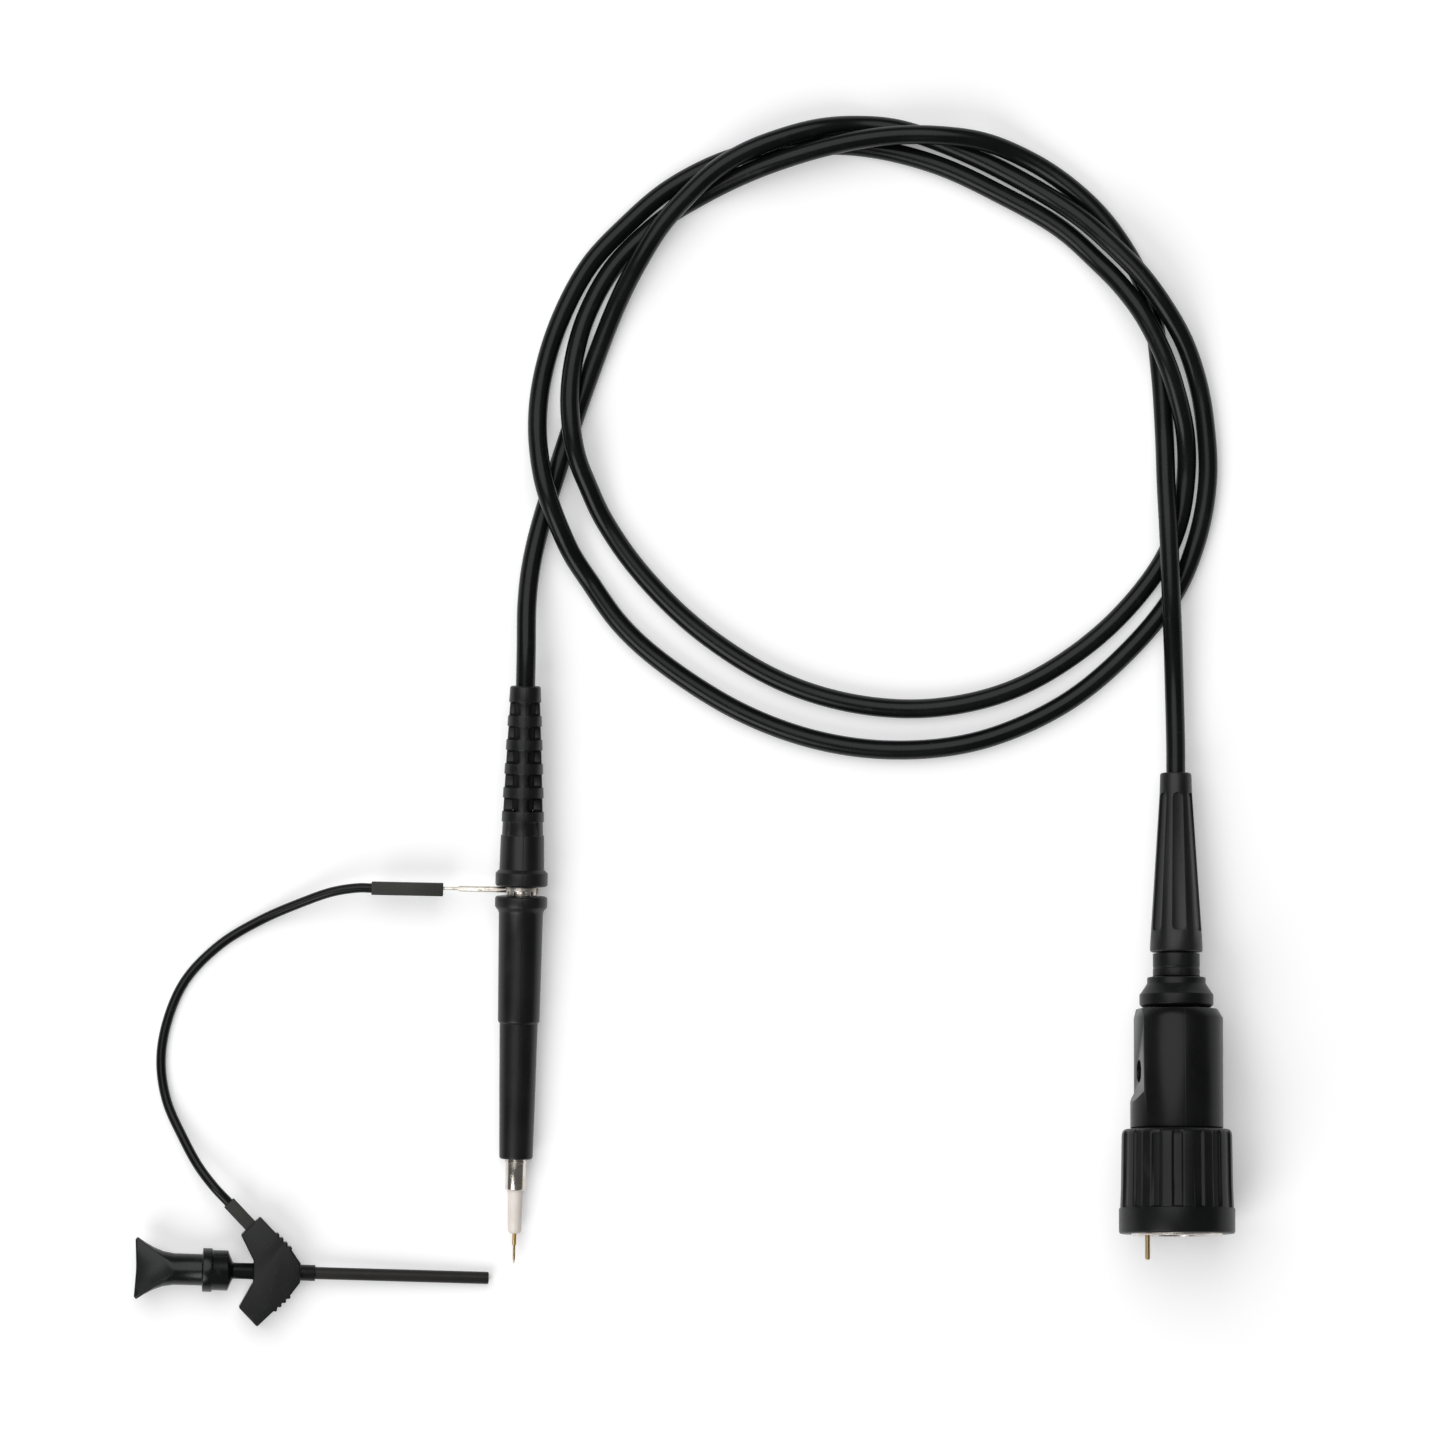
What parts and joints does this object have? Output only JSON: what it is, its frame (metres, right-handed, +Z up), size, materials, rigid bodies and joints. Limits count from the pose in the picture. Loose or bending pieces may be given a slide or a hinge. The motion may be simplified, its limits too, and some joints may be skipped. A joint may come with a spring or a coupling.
{
  "type": "oscilloscope probe",
  "caption": "Passive oscilloscope probe: pen head with flex boot and spring tip, looped coax cable, bayonet plug with trimmer box, ground lead with clip and grabber.",
  "frame": {"origin": "on the bench plane, under the centre of the box that holds the head, ground clip, grabber and plug without the cords", "axes": "+X to the right of the layout, from the grabber's knob to the plug; +Y up the layout, from the plug's mouth towards the cable loops; +Z up from the bench"},
  "size_m": [0.2152, 0.2369, 0.0235],
  "materials": {
    "soft_black": "satin black elastomer",
    "hard_black": "satin black moulded plastic",
    "grabber_black": "satin black moulded plastic",
    "socket_grey": "matt dark olive-grey moulding",
    "cable_black": "satin black cable jacket",
    "nickel": "nickel plate, polished",
    "tin": "dull tin plate with dark specks",
    "gold": "gold plate",
    "brass": "turned brass",
    "steel": "plain spring and sheet steel",
    "white_plastic": "pinkish white moulded plastic",
    "ceramic": "white ceramic plate",
    "board_green": "green circuit board",
    "part_tan": "lacquered electronic part",
    "silicone": "red-brown silicone"
  },
  "bodies": {
    "probe_and_plug": {"probe_boot": "soft_black", "probe_barrel": "soft_black", "ground_sleeve": "nickel", "crimp_ferrule": "steel", "tip_insulator": "white_plastic", "tip_tube": "gold", "tip_spring": "steel", "input_lead": "steel", "divider_board": "ceramic", "divider_resistor": "part_tan", "divider_capacitor": "part_tan", "main_cable": "cable_black", "plug_boot": "soft_black", "cable_gland": "hard_black", "rear_nut": "hard_black", "box_housing": "hard_black", "circuit_board": "board_green", "trimmer_base": "part_tan", "board_resistor": "part_tan", "plug_body": "nickel", "plug_nut": "nickel", "plug_insulator": "white_plastic", "centre_pin": "gold", "plug_gasket": "silicone", "ring_spring": "steel", "readout_barrel": "brass", "readout_spring": "steel"},
    "tip": {"tip_needle": "gold"},
    "readout": {"readout_pin": "brass"},
    "lock": {"lock_ring": "hard_black", "bayonet_ring": "nickel", "ring_keeper": "steel"},
    "trimmer": {"trimmer_rotor": "brass"},
    "ground_lead": {"ground_clip": "tin", "clip_socket": "socket_grey", "clip_socket_contact": "brass", "ground_lead_wire": "cable_black", "grabber_socket": "socket_grey", "grabber_socket_contact": "brass", "grabber_pin": "brass", "grabber_body": "grabber_black", "grabber_tube": "grabber_black", "grabber_spring": "steel"},
    "plunger": {"grabber_knob": "grabber_black", "hook_wire": "steel"}
  },
  "joints": [
    {"name": "tip_press", "type": "slide", "parent": "probe_and_plug", "child": "tip", "axis": [0.0209, 0.9991, 0.0373], "range_m": [0, 0.0012], "stiffness_N_per_m": 600, "deforming": ["tip_spring"]},
    {"name": "readout_press", "type": "slide", "parent": "probe_and_plug", "child": "readout", "axis": [0, 0.9972, -0.0747], "range_m": [0, 0.0025], "stiffness_N_per_m": 400, "deforming": ["readout_spring"]},
    {"name": "ring_turn", "type": "hinge", "parent": "probe_and_plug", "child": "lock", "pos_m": [0.0963, -0.0443, 0.01222], "axis": [0, -0.9972, 0.0747], "range_deg": [0, 90]},
    {"name": "trimmer_turn", "type": "hinge", "parent": "probe_and_plug", "child": "trimmer", "pos_m": [0.09069, -0.01262, 0.01074], "axis": [0.9877, -0.0117, -0.156], "continuous": true},
    {"name": "clip_swivel", "type": "hinge", "parent": "probe_and_plug", "child": "ground_lead", "pos_m": [-0.0317, 0.0224, 0.00522], "axis": [0.0209, 0.9991, 0.0373], "range_deg": [0, 180]},
    {"name": "plunger_press", "type": "slide", "parent": "ground_lead", "child": "plunger", "axis": [0.9979, -0.0314, -0.0571], "range_m": [0, 0.0035], "stiffness_N_per_m": 900, "deforming": ["grabber_spring"]}
  ]
}
